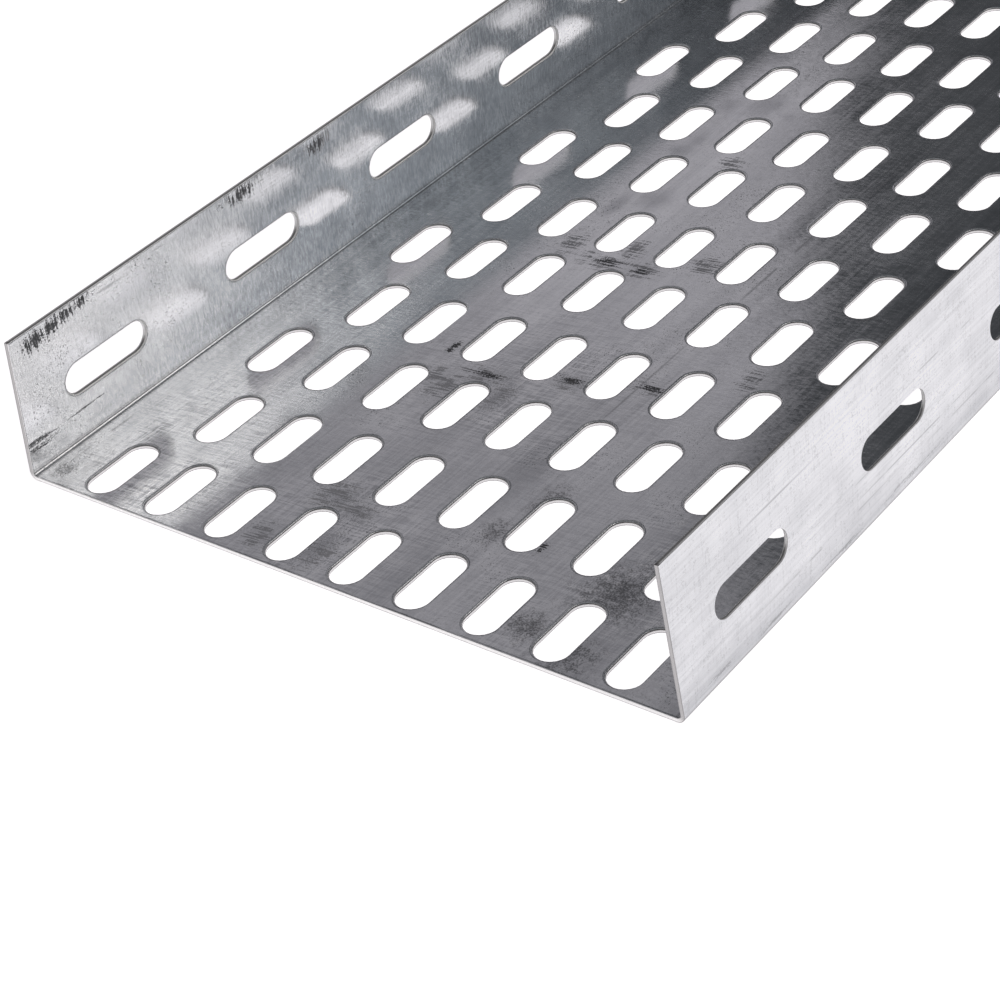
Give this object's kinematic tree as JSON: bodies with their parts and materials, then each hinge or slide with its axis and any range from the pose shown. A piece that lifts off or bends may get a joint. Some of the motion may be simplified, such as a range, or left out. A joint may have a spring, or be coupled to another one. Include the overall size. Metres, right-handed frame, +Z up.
{
  "type": "perforated cable tray",
  "caption": "Straight perforated cable tray: a slotted channel folded from galvanised steel sheet, with plain flanges that lean in a little, that carries cables along walls and ceilings.",
  "frame": {"origin": "under the middle of the tray, on the underside of its base", "axes": "+X along the tray from its near end to its far end, +Y across it towards the left flange, +Z up, from the base towards the open side"},
  "size_m": [2, 0.2, 0.042],
  "materials": {
    "galvanised_steel": "galvanised, lightly scuffed"
  },
  "bodies": {
    "root": {"tray": "galvanised_steel"}
  },
  "joints": []
}
